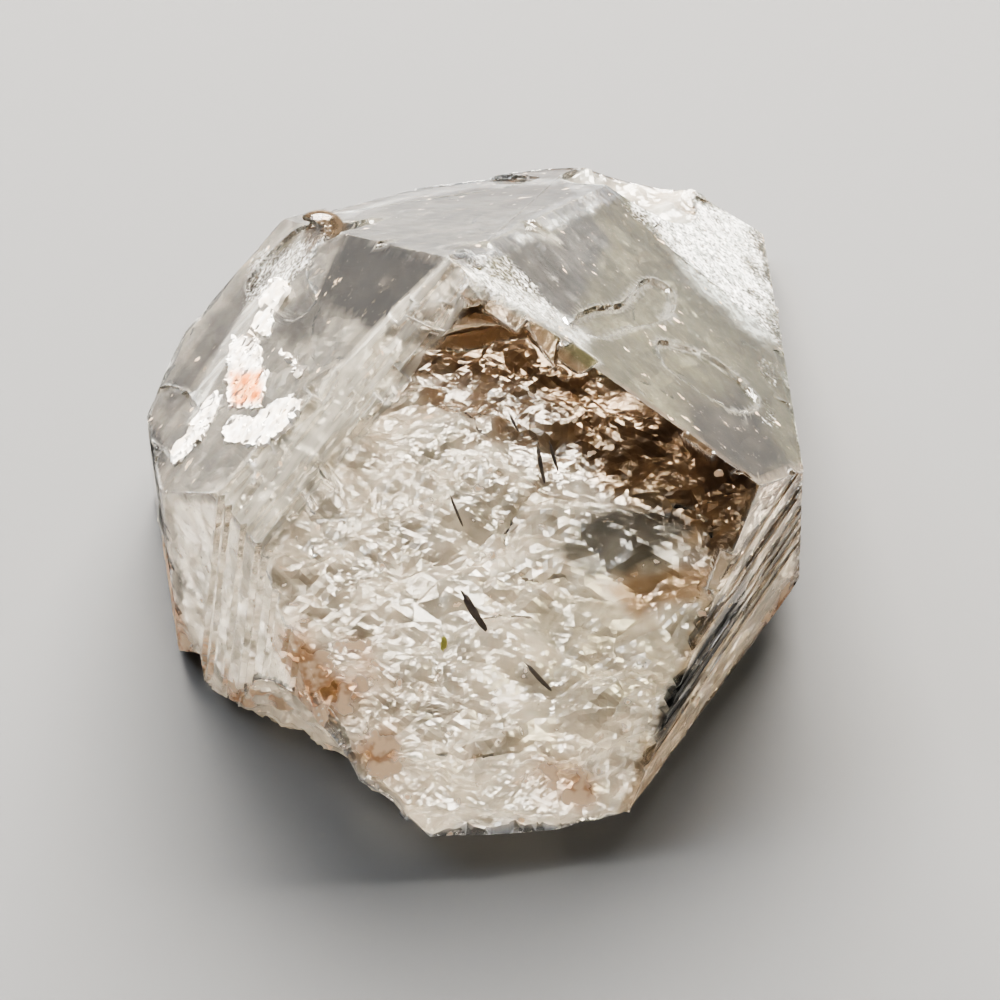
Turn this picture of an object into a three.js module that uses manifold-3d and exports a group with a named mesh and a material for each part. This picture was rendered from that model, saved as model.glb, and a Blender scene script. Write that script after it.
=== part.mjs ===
// A natural quartz point: one stubby clear crystal with a six-sided prism and a broken base.
// Millimetres, +Z up. The crystal is worked out upright, with its long axis along +Z and the foot of
// its tip at the origin, and then leans as a whole so that the broken base lies flat on Z = 0.

import * as THREE from "three";
import { mergeVertices } from "three/addons/utils/BufferGeometryUtils.js";
import Module from "manifold-3d";

// Driving dimensions, in millimetres and degrees.
const TIP_HEIGHT = 40.7;      // tip above the break, along the crystal's long axis
const BREAK_LEAN = 12;        // how far the long axis leans from square to the break
const POINT_SLOPE = 51.8;     // quartz's own angle between the long axis and a tip face's normal
const BLOCK = 140;            // side of a block that cuts everything beyond a plane

// Every face: the compass bearing and the polar angle of its outward normal, and its distance from the tip.
const FACES = {
  front: { bearing: 272, polar: POINT_SLOPE, distance: 0.1 },
  right: { bearing: 32, polar: POINT_SLOPE, distance: 0.0 },
  left: { bearing: 152, polar: POINT_SLOPE, distance: 0.1 },
  back: { bearing: 92, polar: POINT_SLOPE, distance: 0.45 },
  bevel: { bearing: 212, polar: 35.5, distance: -0.9 },
  sideFrontRight: { bearing: 324, polar: 88, distance: 20.9 },
  sideFrontLeft: { bearing: 212, polar: 80, distance: 15.6 },
  sideLeft: { bearing: 186, polar: 87, distance: 20.2 },
  sideLeftBack: { bearing: 158, polar: 87, distance: 22.3 },
  sideBackLeft: { bearing: 129, polar: 86, distance: 21.6 },
  sideBack: { bearing: 98, polar: 90, distance: 29.2 },
  sideBackRight: { bearing: 78, polar: 90, distance: 31.2 },
  sideRight: { bearing: 359, polar: 90, distance: 22.6 },
};

// Broken faces that undercut the front: placed as the faces are, with a rough surface of their own.
const FRACTURES = [
  { bearing: 312, polar: 148, distance: 39.8, width: 46, height: 32, shift: [0, 4], rough: 1.1, seed: 3 },
  { bearing: 271, polar: 154, distance: 40.1, width: 46, height: 32, shift: [0, 4], rough: 1.1, seed: 11 },
  { bearing: 228, polar: 104, distance: 29.1, width: 36, height: 34, shift: [0, -26], rough: 1.6, seed: 23 },
];
const FRACTURE_CELL = 1.6;
const FRACTURE_DEPTH = 26;

// The break that the crystal rests on: hollows above flat lands at Z = 0, and the broad shells in it.
const BREAK = { cell: 2.0, relief: 2.6, land: 0.46, seed: 41 };
const BREAK_SHELLS = [
  { at: [-6.0, 14.0], radius: 34, depth: 1.6 },
  { at: [9.0, 6.0], radius: 28, depth: 1.3 },
  { at: [3.0, -6.0], radius: 22, depth: 1.0 },
];

// Shell-shaped bites out of the outside: centre, radius and squash along the upright.
const BITES = [
  { centre: [16.8, 32.8, 13.7], radius: 12.3, squash: 1.0 },
  { centre: [-17.7, -23.2, 7.0], radius: 9.6, squash: 1.4 },
];
const SHELL_DETAIL = 9;

// The step in the left side: a notch in front of a ledge.
const NOTCH = { corner: [-19.8, -9.6, 6.7], size: [12, 14, 30], tilt: 30, turn: -3 };

// Low steps on the tip faces: outline on the face (across, upslope from the tip's foot), and depth.
const TERRACES = [
  { face: "right", depth: 0.28, outline: [[-5.1, -20.2], [-4.6, -22.0], [-5.4, -26.5], [-6.8, -28.1],
    [-8.7, -28.9], [-10.5, -27.6], [-11.2, -23.4], [-10.2, -21.6], [-8.2, -19.5], [-7.2, -18.8]] },
  { face: "right", depth: 0.35, outline: [[-4.4, -9.2], [-2.1, -15.1], [-1.2, -20.1], [2.2, -27.4],
    [1.3, -29.7], [-1.6, -26.0], [-3.4, -19.0], [-5.2, -12.6]] },
  { face: "right", depth: 0.22, outline: [[8.0, -35.0], [13.5, -47.0], [12.0, -58.0], [4.0, -50.0],
    [0.5, -42.0], [3.5, -37.5]] },
  { face: "left", depth: 0.3, outline: [[-9.5, -24.5], [-5.2, -23.5], [-1.8, -19.2], [-0.6, -21.4],
    [-3.2, -27.0], [-6.5, -33.0], [-10.4, -29.5]] },
  { face: "left", depth: 0.24, outline: [[3.0, -33.0], [6.8, -27.2], [9.6, -27.8], [8.4, -31.5],
    [4.6, -38.6], [1.6, -38.2]] },
  { face: "back", depth: 0.3, outline: [[-3.5, -38.5], [2.8, -36.0], [8.2, -33.5], [7.4, -41.0],
    [2.0, -48.5], [-4.5, -47.5], [-7.4, -42.8]] },
];
const TERRACE_POINTS = 28;
const TERRACE_CLEAR = 2;

// Striations: fine grooves on the prism's sides, level on most and upright on the front left one.
const GROOVES = [
  { face: "sideFrontRight", upright: false, from: -20, to: -31, count: 7, length: 60, centre: 0 },
  { face: "sideRight", upright: false, from: -25, to: -38, count: 7, length: 70, centre: 0 },
  { face: "sideLeft", upright: false, from: -22, to: -36, count: 6, length: 50, centre: 0 },
  { face: "sideLeftBack", upright: false, from: -30, to: -40, count: 5, length: 50, centre: 0 },
  { face: "sideBackLeft", upright: false, from: -31, to: -43, count: 6, length: 60, centre: 0 },
  { face: "sideBack", upright: false, from: -38, to: -46, count: 4, length: 60, centre: 0 },
  { face: "sideFrontLeft", upright: true, from: -2.4, to: 8.4, count: 8, length: 40, centre: -34 },
];
const GROOVE_SIDE = 0.42;

// Chips along the sharp edges: the two faces, then how far along the edge, how deep and how long each is.
const CHIPS = [
  { edge: ["front", "right"], places: [[2.2, 0.35, 2.2], [4.6, 0.75, 2.6], [7.6, 0.5, 2.4], [10.2, 0.8, 2.0],
    [20.4, 0.25, 2.6], [27.5, 0.3, 1.8]] },
  { edge: ["right", "back"], places: [[2.2, 0.4, 2.4], [6.6, 0.45, 3.4], [17.0, 0.35, 3.2]] },
  { edge: ["left", "back"], places: [[14.0, 0.25, 2.0], [24.5, 0.6, 3.0]] },
  { edge: ["bevel", "front"], places: [[3.2, 0.3, 1.8], [9.0, 0.35, 2.2], [17.5, 0.3, 2.0]] },
  { edge: ["bevel", "left"], places: [[5.0, 0.25, 1.8], [12.4, 0.3, 2.2], [19.0, 0.25, 1.8]] },
  { edge: ["front", "sideFrontRight"], places: [[6.0, 0.35, 2.4], [15.0, 0.45, 2.8]] },
];
const CHIP_TWIST = 17;

// The small rounded knob grown on the edge between the left and back faces.
const KNOB = { centre: [-9.4, 16.3, 20.0], radius: 1.5, stretch: [1.15, 0.9, 0.8] };

const wasm = await Module();
wasm.setup();

const TIP = new THREE.Vector3(0, 0, TIP_HEIGHT);
const LEAN = new THREE.Matrix4().makeRotationX(THREE.MathUtils.degToRad(BREAK_LEAN));

// A closed three.js geometry as a solid that can be joined and cut.
function solid(geometry) {
  const bare = geometry.clone();
  bare.deleteAttribute("normal");
  bare.deleteAttribute("uv");
  const merged = mergeVertices(bare, 1e-4);
  return new wasm.Manifold(new wasm.Mesh({
    numProp: 3,
    vertProperties: Float32Array.from(merged.attributes.position.array),
    triVerts: Uint32Array.from(merged.index.array),
  }));
}

function outwardNormal({ bearing, polar }) {
  const turn = THREE.MathUtils.degToRad(bearing);
  const tip = THREE.MathUtils.degToRad(polar);
  return new THREE.Vector3(Math.cos(turn) * Math.sin(tip), Math.sin(turn) * Math.sin(tip), Math.cos(tip));
}

// A face's own frame, leaning with the crystal: across, upslope and outwards, from the tip's foot on the face.
function faceFrame(face) {
  const outward = outwardNormal(face);
  const across = new THREE.Vector3(0, 0, 1).cross(outward).normalize();
  const upslope = outward.clone().cross(across);
  const foot = TIP.clone().addScaledVector(outward, face.distance);
  return LEAN.clone().multiply(new THREE.Matrix4().makeBasis(across, upslope, outward).setPosition(foot));
}

// A repeatable number from 0 to 1 for a whole-number place.
function scatter(i, j) {
  const wave = Math.sin(i * 127.1 + j * 311.7) * 43758.5453;
  return wave - Math.floor(wave);
}

// Smooth noise from 0 to 1 between the whole-number places.
function noise(x, y) {
  const i = Math.floor(x);
  const j = Math.floor(y);
  const s = THREE.MathUtils.smoothstep(x - i, 0, 1);
  const t = THREE.MathUtils.smoothstep(y - j, 0, 1);
  const low = THREE.MathUtils.lerp(scatter(i, j), scatter(i + 1, j), s);
  const high = THREE.MathUtils.lerp(scatter(i, j + 1), scatter(i + 1, j + 1), s);
  return THREE.MathUtils.lerp(low, high, t);
}

// The relief of a broken face, from 0 to 1: broad shells with sharp ridges between them.
function hackle(x, y, seed) {
  const broad = noise(x / 7 + seed, y / 5);
  const ridge = 1 - Math.abs(2 * noise(x / 3.1, y / 2.3 + seed) - 1);
  return 0.6 * broad + 0.4 * ridge;
}

// Everything beyond a flat face.
function beyondFace(face) {
  const block = new THREE.BoxGeometry(BLOCK, BLOCK, BLOCK).translate(0, 0, BLOCK / 2);
  return solid(block.applyMatrix4(faceFrame(face)));
}

// Everything beyond a rough broken face.
function beyondFracture(fracture) {
  const { width, height, shift, rough, seed } = fracture;
  const block = new THREE.BoxGeometry(
    width, height, FRACTURE_DEPTH,
    Math.round(width / FRACTURE_CELL), Math.round(height / FRACTURE_CELL), 1,
  ).translate(shift[0], shift[1], FRACTURE_DEPTH / 2);
  const points = block.attributes.position;
  for (let k = 0; k < points.count; k += 1) {
    if (points.getZ(k) < FRACTURE_DEPTH / 2) {
      points.setZ(k, rough * (hackle(points.getX(k), points.getY(k), seed) - 0.5));
    }
  }
  return solid(block.applyMatrix4(faceFrame(fracture)));
}

// The rough underside of the break, which looks down: flat lands on Z = 0 and hollows between them.
function beneathBreak({ cell, relief, land, seed }) {
  const side = BLOCK / 2;
  const steps = Math.round(side / cell);
  const block = new THREE.BoxGeometry(side, side, side, steps, steps, 1).translate(0, 0, -side / 2);
  const points = block.attributes.position;
  for (let k = 0; k < points.count; k += 1) {
    if (points.getZ(k) > -side / 2) {
      const high = hackle(points.getX(k), points.getY(k), seed) - land;
      points.setZ(k, relief * Math.max(0, high));
    }
  }
  return solid(block);
}

// A broad shell-shaped hollow of the break.
function breakShell({ at, radius, depth }) {
  const ball = new THREE.IcosahedronGeometry(radius, 2 * SHELL_DETAIL);
  return solid(ball.translate(at[0], at[1], depth - radius));
}

// A shell-shaped bite out of the outside.
function bite({ centre, radius, squash }) {
  const ball = new THREE.IcosahedronGeometry(radius, SHELL_DETAIL).scale(1, 1, squash);
  return solid(ball.translate(...centre).applyMatrix4(LEAN));
}

// The notch in front of the left ledge.
function notch({ corner, size, tilt, turn }) {
  const block = new THREE.BoxGeometry(...size).translate(-size[0] / 2, -size[1] / 2, 0);
  block.rotateX(THREE.MathUtils.degToRad(tilt)).rotateZ(THREE.MathUtils.degToRad(turn));
  return solid(block.translate(...corner).applyMatrix4(LEAN));
}

// A low flat-floored step in a face, with a smooth outline.
function terrace({ face, depth, outline }) {
  const loop = new THREE.SplineCurve(outline.concat([outline[0]]).map(([x, y]) => new THREE.Vector2(x, y)));
  const shape = new THREE.Shape(loop.getPoints(TERRACE_POINTS).slice(0, -1));
  const plate = new THREE.ExtrudeGeometry(shape, { depth: depth + TERRACE_CLEAR, bevelEnabled: false });
  return solid(plate.translate(0, 0, -depth).applyMatrix4(faceFrame(FACES[face])));
}

// The grooves of one striated side, at uneven places.
function grooves({ face, upright, from, to, count, length, centre }) {
  const frame = faceFrame(FACES[face]);
  const cuts = [];
  for (let k = 0; k < count; k += 1) {
    const place = THREE.MathUtils.lerp(from, to, (k + 0.7 * scatter(k, from)) / count);
    const side = GROOVE_SIDE * (0.6 + 0.6 * scatter(k + 5, to));
    const rod = new THREE.BoxGeometry(length, side, side).rotateX(Math.PI / 4);
    if (upright) {
      rod.rotateZ(Math.PI / 2).translate(place, centre, 0);
    } else {
      rod.rotateZ(0.03 * (scatter(k, 3) - 0.5)).translate(centre, place, 0);
    }
    cuts.push(solid(rod.applyMatrix4(frame)));
  }
  return cuts;
}

// The chips along the edge where two faces meet.
function chips({ edge, places }) {
  const [first, second] = edge.map((name) => FACES[name]);
  const a = outwardNormal(first);
  const b = outwardNormal(second);
  const along = a.clone().cross(b).normalize();
  if (along.z > 0) {
    along.negate();
  }
  const slope = a.dot(b);
  const spread = 1 - slope * slope;
  const start = TIP.clone()
    .addScaledVector(a, (first.distance - second.distance * slope) / spread)
    .addScaledVector(b, (second.distance - first.distance * slope) / spread);
  const outward = a.clone().add(b).normalize();
  const across = outward.clone().cross(along);
  return places.map(([distance, depth, length], k) => {
    const block = new THREE.BoxGeometry(length, 4 * length, 3).translate(0, 0, 1.5 - depth);
    const twist = THREE.MathUtils.degToRad(CHIP_TWIST) * (2 * scatter(k, distance) - 1);
    block.rotateX(twist).rotateY(0.5 * twist).rotateZ(2 * twist);
    const frame = new THREE.Matrix4().makeBasis(along, across, outward)
      .setPosition(start.clone().addScaledVector(along, distance));
    return solid(block.applyMatrix4(LEAN.clone().multiply(frame)));
  });
}

// The finished crystal: a block, cut down face by face, then broken, stepped, grooved and chipped.
function crystal() {
  const blank = new THREE.BoxGeometry(BLOCK / 2, BLOCK / 2, BLOCK / 2).translate(0, 0, BLOCK / 4);
  let body = solid(blank);
  for (const face of Object.values(FACES)) {
    body = body.subtract(beyondFace(face));
  }
  const knob = new THREE.IcosahedronGeometry(KNOB.radius, 4).scale(...KNOB.stretch).translate(...KNOB.centre);
  body = body.add(solid(knob.applyMatrix4(LEAN)));
  const cutters = [
    ...FRACTURES.map(beyondFracture),
    ...BITES.map(bite),
    notch(NOTCH),
    ...TERRACES.map(terrace),
    ...GROOVES.flatMap(grooves),
    ...CHIPS.flatMap(chips),
    beneathBreak(BREAK),
    ...BREAK_SHELLS.map(breakShell),
  ];
  for (const cutter of cutters) {
    body = body.subtract(cutter);
  }
  return body;
}

// The solid's largest body as a three.js geometry, moved so that its footprint is centred on the origin.
function centredGeometry(body) {
  const main = body.decompose().reduce((best, piece) => (piece.volume() > best.volume() ? piece : best));
  const mesh = main.getMesh();
  const geometry = new THREE.BufferGeometry();
  geometry.setAttribute("position", new THREE.BufferAttribute(Float32Array.from(mesh.vertProperties), 3));
  geometry.setIndex(new THREE.BufferAttribute(Uint32Array.from(mesh.triVerts), 1));
  geometry.computeBoundingBox();
  const middle = geometry.boundingBox.getCenter(new THREE.Vector3());
  geometry.translate(-middle.x, -middle.y, 0);
  geometry.computeVertexNormals();
  return geometry;
}

const clearQuartz = new THREE.MeshStandardMaterial({
  color: 0xcfc6b8, roughness: 0.08, metalness: 0, transparent: true, opacity: 0.5,
});
const quartzPoint = new THREE.Mesh(centredGeometry(crystal()), clearQuartz);
quartzPoint.name = "quartz_point";

const group = new THREE.Group();
group.add(quartzPoint);

export default group;
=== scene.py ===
# %% [markdown]
# # A natural quartz point
# One stubby clear crystal lies on its broken base, with its tip leaning towards the viewer. The solid
# model gives its faces, steps and breaks. Here it gets what makes quartz look like quartz: a surface
# that is flat but never perfect, a rough break that sparkles through the clear body, cracks, clay and
# rust.

# %% Load the solid model as the fixed frame
import math

import bpy
import numpy as np
from mathutils import Matrix, Vector, noise


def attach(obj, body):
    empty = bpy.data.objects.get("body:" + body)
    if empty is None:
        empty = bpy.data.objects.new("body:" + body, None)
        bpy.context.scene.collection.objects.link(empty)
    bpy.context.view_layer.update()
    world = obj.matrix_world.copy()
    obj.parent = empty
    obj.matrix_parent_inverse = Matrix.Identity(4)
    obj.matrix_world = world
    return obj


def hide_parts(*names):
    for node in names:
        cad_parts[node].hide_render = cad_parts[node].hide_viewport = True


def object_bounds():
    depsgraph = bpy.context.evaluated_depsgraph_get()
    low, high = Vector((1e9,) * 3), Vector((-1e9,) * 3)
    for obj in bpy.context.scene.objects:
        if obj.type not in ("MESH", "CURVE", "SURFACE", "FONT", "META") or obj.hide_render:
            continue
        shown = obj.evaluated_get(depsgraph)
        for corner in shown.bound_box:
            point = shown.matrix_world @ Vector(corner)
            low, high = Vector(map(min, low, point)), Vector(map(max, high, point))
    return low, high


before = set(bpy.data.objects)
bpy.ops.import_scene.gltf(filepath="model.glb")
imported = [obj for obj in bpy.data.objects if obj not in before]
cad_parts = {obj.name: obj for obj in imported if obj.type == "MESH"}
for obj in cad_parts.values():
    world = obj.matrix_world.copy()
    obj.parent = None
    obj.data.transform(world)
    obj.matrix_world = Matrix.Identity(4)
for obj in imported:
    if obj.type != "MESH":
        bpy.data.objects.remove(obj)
cad_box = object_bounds()
MM = 0.001
print("solid model, mm:", [round(c / MM, 1) for c in (*cad_box[0], *cad_box[1])])

# %% [markdown]
# ## The crystal's own frame
# Quartz always has the same angles between its faces, so each face is known by a compass bearing and a
# polar angle about the crystal's long axis. That axis leans from the upright, because the base broke at
# a slant. The tip is where the three main faces meet: their planes are read from the solid model, and
# the meeting point is worked out from them. Everything later is placed from that tip.

# %% The faces and the tip
LEAN = math.radians(12)
TIP_SLOPE = 51.8
FACES = {
    "front": (272, TIP_SLOPE),
    "right": (32, TIP_SLOPE),
    "left": (152, TIP_SLOPE),
    "back": (92, TIP_SLOPE),
    "bevel": (212, 35.5),
    "side_front_right": (324, 88),
    "side_front_left": (212, 80),
    "side_left": (186, 87),
    "side_left_back": (158, 87),
    "side_back_left": (129, 86),
    "side_back": (98, 90),
    "side_back_right": (78, 90),
    "side_right": (359, 90),
}
STAND_OFF = {"front": 0.1 * MM, "right": 0.0, "left": 0.1 * MM}
ALONG_FACE = 0.99999
lean = Matrix.Rotation(LEAN, 3, "X")
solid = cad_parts["quartz_point"]


def face_normal(name):
    """The outward normal of a named face, in the row frame."""
    bearing, polar = (math.radians(a) for a in FACES[name])
    outward = math.sin(polar)
    return lean @ Vector((math.cos(bearing) * outward, math.sin(bearing) * outward, math.cos(polar)))


def face_plane(name):
    """How far the named face lies from the origin along its normal, from the solid's own facets."""
    normal = face_normal(name)
    facets = [p for p in solid.data.polygons if p.normal.dot(normal) > ALONG_FACE]
    return max((p.area, p.center.dot(normal)) for p in facets)[1]


three = list(STAND_OFF)
tip = Matrix([face_normal(n) for n in three]).inverted() @ Vector(
    [face_plane(n) - STAND_OFF[n] for n in three])
print("tip, mm:", [round(c / MM, 2) for c in tip])

# %% [markdown]
# A place on a face is given as on a sheet of paper: so far across, so far up the slope from the foot of
# the tip, and so deep under the surface.

# %% Places on a face
def face_frame(name):
    """The face's own axes (across, upslope, outward) and its foot, the tip's place on its plane."""
    outward = face_normal(name)
    across = (lean @ Vector((0, 0, 1))).cross(outward).normalized()
    foot = tip + outward * (face_plane(name) - outward.dot(tip))
    return across, outward.cross(across), outward, foot


def face_spot(name, across, upslope, depth=0.0):
    """A point under a face, from millimetres across, upslope and deep."""
    axes = face_frame(name)
    return axes[3] + (axes[0] * across + axes[1] * upslope - axes[2] * depth) * MM


def on_face(name, points):
    """Points in a face's own millimetres: across, upslope and how far outside the face."""
    across, upslope, outward, foot = (np.array(v) for v in face_frame(name))
    away = (points - foot) / MM
    return away @ across, away @ upslope, away @ outward


print("front face, 10 mm below the tip, mm:", [round(c / MM, 1) for c in face_spot("front", 0, -10)])

# %% [markdown]
# ## Camera
# A long lens from 50 degrees above the floor, turned a little about its own axis, as the photograph was
# taken. A long lens keeps the crystal's edges straight and parallel, as in a close-up of a small thing.

# %% Camera
ELEVATION = math.radians(50)
ROLL = math.radians(-4)
AIM_FROM_TIP = Vector((-0.2, 2.28, -26.1)) * MM
ASIDE = 2.07 * MM
DISTANCE = 320 * MM
LENS = 167.0

level = Vector((1, 0, 0))
rise = Vector((0, math.sin(ELEVATION), math.cos(ELEVATION)))
back = Vector((0, -math.cos(ELEVATION), math.sin(ELEVATION)))
across = math.cos(ROLL) * level + math.sin(ROLL) * rise
upward = math.cos(ROLL) * rise - math.sin(ROLL) * level
camera_place = tip + AIM_FROM_TIP + ASIDE * across + DISTANCE * back
bpy.ops.object.camera_add()
camera = bpy.context.object
camera.matrix_world = Matrix((across, upward, back)).transposed().to_4x4()
camera.location = camera_place
camera.data.lens = LENS
camera.data.clip_start = 10 * MM
bpy.context.scene.camera = camera
print("camera, mm:", [round(c / MM) for c in camera_place])

# %% [markdown]
# ## Floor and light
# Clear things are seen by what they bend into view. A large soft light behind and above shines through
# the back faces, bounces off the rough base inside and comes out of the front: that is what fills the
# crystal with light. The rest of the room is kept dim, so that some faces stay dark and the edges read.

# %% Floor
def deselect():
    """Nothing selected, so that an operator works only on what is made next."""
    if bpy.context.object and bpy.context.object.mode != "OBJECT":
        bpy.ops.object.mode_set(mode="OBJECT")
    bpy.ops.object.select_all(action="DESELECT")


def pick(piece):
    """One piece selected and active, ready for an operator."""
    deselect()
    piece.select_set(True)
    bpy.context.view_layer.objects.active = piece


deselect()
FLOOR_SIDE = 4.0
FLOOR_GAP = 0.02 * MM
FLOOR_GREY = (0.115, 0.1165, 0.1185, 1)
FLOOR_ROUGHNESS = 0.7
bpy.ops.mesh.primitive_plane_add(size=FLOOR_SIDE, location=(0, 0, -FLOOR_GAP))
floor = bpy.context.object
floor.name = "floor"
bpy.ops.object.transform_apply(location=True, rotation=False, scale=False)
floor_look = bpy.data.materials.new("pale floor")
floor_look.use_nodes = True
floor_shader = floor_look.node_tree.nodes["Principled BSDF"]
floor_shader.inputs["Base Color"].default_value = FLOOR_GREY
floor_shader.inputs["Roughness"].default_value = FLOOR_ROUGHNESS
floor.data.materials.append(floor_look)
print("floor, m across:", FLOOR_SIDE)

# %% Lights
def softbox(name, bearing, height, distance, width, depth, power, colour):
    """A soft rectangular light that looks at the crystal from a bearing and a height, both in degrees."""
    turn, up = math.radians(bearing), math.radians(height)
    way = Vector((math.sin(turn) * math.cos(up), math.cos(turn) * math.cos(up), math.sin(up)))
    bpy.ops.object.light_add(type="AREA", location=way * distance)
    light = bpy.context.object
    light.name = name
    light.data.shape = "RECTANGLE"
    light.data.size = width
    light.data.size_y = depth
    light.data.energy = power
    light.data.color = colour
    light.rotation_euler = way.to_track_quat("Z", "Y").to_euler()
    return light


ROOM_GLOW = 0.12
MOST_BOUNCES = 9
MOST_REFLECTIONS = 8
MOST_SCATTERS = 2
NOISE_LEFT = 0.2
WARM = (1.0, 0.95, 0.88)
COOL = (0.9, 0.95, 1.0)
softbox("window behind", 8, 50, 0.60, 0.60, 0.42, 23.0, WARM)
softbox("soft top", -70, 55, 0.80, 0.35, 0.35, 4.0, COOL)
softbox("front fill", 160, 35, 1.20, 0.50, 0.50, 4.5, WARM)
scene = bpy.context.scene
scene.world = bpy.data.worlds.new("dim room")
scene.world.use_nodes = True
sky = scene.world.node_tree.nodes["Background"]
sky.inputs["Color"].default_value = (*COOL, 1)
sky.inputs["Strength"].default_value = ROOM_GLOW
scene.view_settings.look = "AgX - High Contrast"
scene.cycles.max_bounces = MOST_BOUNCES
scene.cycles.transmission_bounces = MOST_BOUNCES
scene.cycles.glossy_bounces = MOST_REFLECTIONS
scene.cycles.diffuse_bounces = MOST_SCATTERS
scene.cycles.adaptive_threshold = NOISE_LEFT

# %% [markdown]
# ## The crystal
# The piece starts as a copy of the solid's mesh, with its flat facets joined to whole faces first,
# because thin leftover triangles would spoil every later step.

# %% Copy of the solid
GROWN = 0.9994
WELD = 0.002 * MM
FLAT = math.radians(0.2)


def polygon_normals(mesh):
    """The normals of all polygons."""
    normals = np.empty(len(mesh.polygons) * 3)
    mesh.polygons.foreach_get("normal", normals)
    return normals.reshape(-1, 3)


def grown_polygons(mesh, names):
    """Which polygons lie along one of the named faces."""
    normals = polygon_normals(mesh)
    return np.any([normals @ np.array(face_normal(name)) > GROWN for name in names], axis=0)


def select(piece, kind, chosen):
    """In edit mode, with only the chosen vertices, edges or polygons selected."""
    pick(piece)
    kinds = ("vertices", "edges", "polygons")
    bpy.context.tool_settings.mesh_select_mode = [kind == other for other in kinds]
    bpy.ops.object.mode_set(mode="EDIT")
    bpy.ops.mesh.select_all(action="DESELECT")
    bpy.ops.object.mode_set(mode="OBJECT")
    getattr(piece.data, kind).foreach_set("select", chosen)
    bpy.ops.object.mode_set(mode="EDIT")


def triangulate():
    """All of the piece in edit mode as triangles."""
    bpy.ops.mesh.select_all(action="SELECT")
    bpy.ops.mesh.quads_convert_to_tris(quad_method="SHORTEST_DIAGONAL", ngon_method="BEAUTY")


crystal = bpy.data.objects.new("clear_quartz_point", solid.data.copy())
scene.collection.objects.link(crystal)
pick(crystal)
bpy.ops.object.mode_set(mode="EDIT")
bpy.ops.mesh.select_all(action="SELECT")
bpy.ops.mesh.remove_doubles(threshold=WELD)
bpy.ops.mesh.dissolve_limited(angle_limit=FLAT)
triangulate()
bpy.ops.object.mode_set(mode="OBJECT")
print("copy of the solid:", len(crystal.data.polygons), "triangles")

# %% [markdown]
# Its facets are still too large to carry any finish, so every edge that is too long is cut in half,
# again and again. That keeps all flat faces flat and all corners sharp, which a voxel remesh would not.
# The break needs short edges for its splinters, and the grown faces can do with longer ones.

# %% Refine
LONG_ON_BREAK = 0.52 * MM
LONG_ON_FACE = 1.0 * MM
LONG_ON_EDGE = 0.45 * MM
EDGE_TURN = math.radians(20)
TIP_FACES = ("front", "right", "left", "back", "bevel")
FACING_DOWN = -0.15
MOST_PASSES = 9
SCOOPS = (((16.8, 32.8, -27.0), 12.6), ((-17.7, -23.2, -33.7), 10.0))


def vertex_places(mesh):
    """All vertices' places."""
    places = np.empty(len(mesh.vertices) * 3)
    mesh.vertices.foreach_get("co", places)
    return places.reshape(-1, 3)


def corner_vertices(mesh):
    """The three vertices of every triangle."""
    corners = np.empty(len(mesh.polygons) * 3, dtype=int)
    mesh.polygons.foreach_get("vertices", corners)
    return corners.reshape(-1, 3)


def broken_polygons(mesh):
    """Which triangles belong to a break: those facing down, and those in the scooped bites."""
    normals = polygon_normals(mesh)
    middles = vertex_places(mesh)[corner_vertices(mesh)].mean(axis=1)
    broken = normals[:, 2] < FACING_DOWN
    for from_tip, radius in SCOOPS:
        centre = np.array(tip + lean @ (Vector(from_tip) * MM))
        broken |= np.linalg.norm(middles - centre, axis=1) < radius * MM
    return broken & ~grown_polygons(mesh, FACES)


def vertex_zone(mesh, triangles):
    """The vertices that touch no triangle outside the given ones."""
    inside = np.zeros(len(mesh.vertices), dtype=bool)
    corners = corner_vertices(mesh)
    inside[corners[triangles].ravel()] = True
    inside[corners[~triangles].ravel()] = False
    return inside


def refine(piece, longest_of):
    """Halves the edges that are longer than longest_of allows, pass by pass."""
    for _ in range(MOST_PASSES):
        mesh = piece.data
        ends = np.empty(len(mesh.edges) * 2, dtype=int)
        mesh.edges.foreach_get("vertices", ends)
        ends = ends.reshape(-1, 2)
        places = vertex_places(mesh)
        lengths = np.linalg.norm(places[ends[:, 0]] - places[ends[:, 1]], axis=1)
        long_ones = lengths > longest_of(mesh, ends)
        if not long_ones.any():
            return
        select(piece, "edges", long_ones)
        bpy.ops.mesh.subdivide(number_cuts=1)
        triangulate()
        bpy.ops.object.mode_set(mode="OBJECT")


def tip_edge_vertices(mesh):
    """The vertices on the sharp edges of the tip's faces."""
    borders = np.empty(len(mesh.loops), dtype=int)
    mesh.loops.foreach_get("edge_index", borders)
    ends = np.empty(len(mesh.edges) * 2, dtype=int)
    mesh.edges.foreach_get("vertices", ends)
    sums = np.zeros((len(mesh.edges), 3))
    np.add.at(sums, borders, np.repeat(polygon_normals(mesh), 3, axis=0))
    beside_tip = np.zeros(len(mesh.edges), dtype=bool)
    beside_tip[borders[np.repeat(grown_polygons(mesh, TIP_FACES), 3)]] = True
    cosines = (np.sum(sums ** 2, axis=1) - 2) / 2
    sharp = beside_tip & (cosines < math.cos(EDGE_TURN))
    on_edge = np.zeros(len(mesh.vertices), dtype=bool)
    on_edge[ends.reshape(-1, 2)[sharp].ravel()] = True
    return on_edge


def crystal_edge_limit(mesh, ends):
    """The longest edge that each place of the crystal may have."""
    on_break = np.zeros(len(mesh.vertices), dtype=bool)
    on_break[corner_vertices(mesh)[broken_polygons(mesh)].ravel()] = True
    limits = np.where(on_break[ends].all(axis=1), LONG_ON_BREAK, LONG_ON_FACE)
    return np.where(tip_edge_vertices(mesh)[ends].any(axis=1), LONG_ON_EDGE, limits)


refine(crystal, crystal_edge_limit)
print("refined crystal:", len(crystal.data.polygons), "triangles")

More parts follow.
